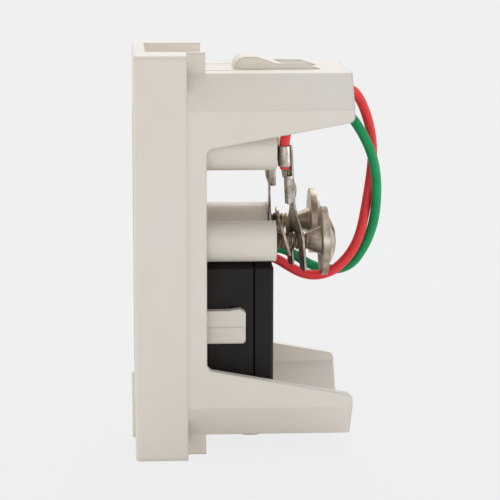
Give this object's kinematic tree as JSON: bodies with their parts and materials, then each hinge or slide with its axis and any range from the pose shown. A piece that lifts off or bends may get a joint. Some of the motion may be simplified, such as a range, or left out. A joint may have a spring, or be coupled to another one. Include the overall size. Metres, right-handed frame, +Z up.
{
  "type": "telephone socket",
  "caption": "Snap-in telephone socket module: moulded ivory housing with snap arms, black modular jack, screw terminals and short coloured leads.",
  "frame": {"origin": "middle of the seat, the plane where the collar stops against the front of a mounting frame", "axes": "+X along the width, +Y from the front face to the back, +Z up along the height"},
  "size_m": [0.0226, 0.0285, 0.045],
  "materials": {
    "ivory_plastic": "satin",
    "black_plastic": "satin",
    "contact_metal": "bright plating",
    "plated_steel": "dull nickel plating",
    "red_insulation": "satin",
    "green_insulation": "satin"
  },
  "bodies": {
    "root": {"housing": "ivory_plastic", "jack_body": "black_plastic", "jack_cap": "black_plastic", "contact_right": "contact_metal", "contact_left": "contact_metal", "terminal_screw_right": "plated_steel", "terminal_screw_left": "plated_steel", "captive_washer_right": "plated_steel", "captive_washer_left": "plated_steel", "loose_washer_right": "plated_steel", "loose_washer_left": "plated_steel", "fork_terminal_right": "plated_steel", "fork_terminal_left": "plated_steel", "lead_red": "red_insulation", "lead_green": "green_insulation"}
  },
  "joints": []
}
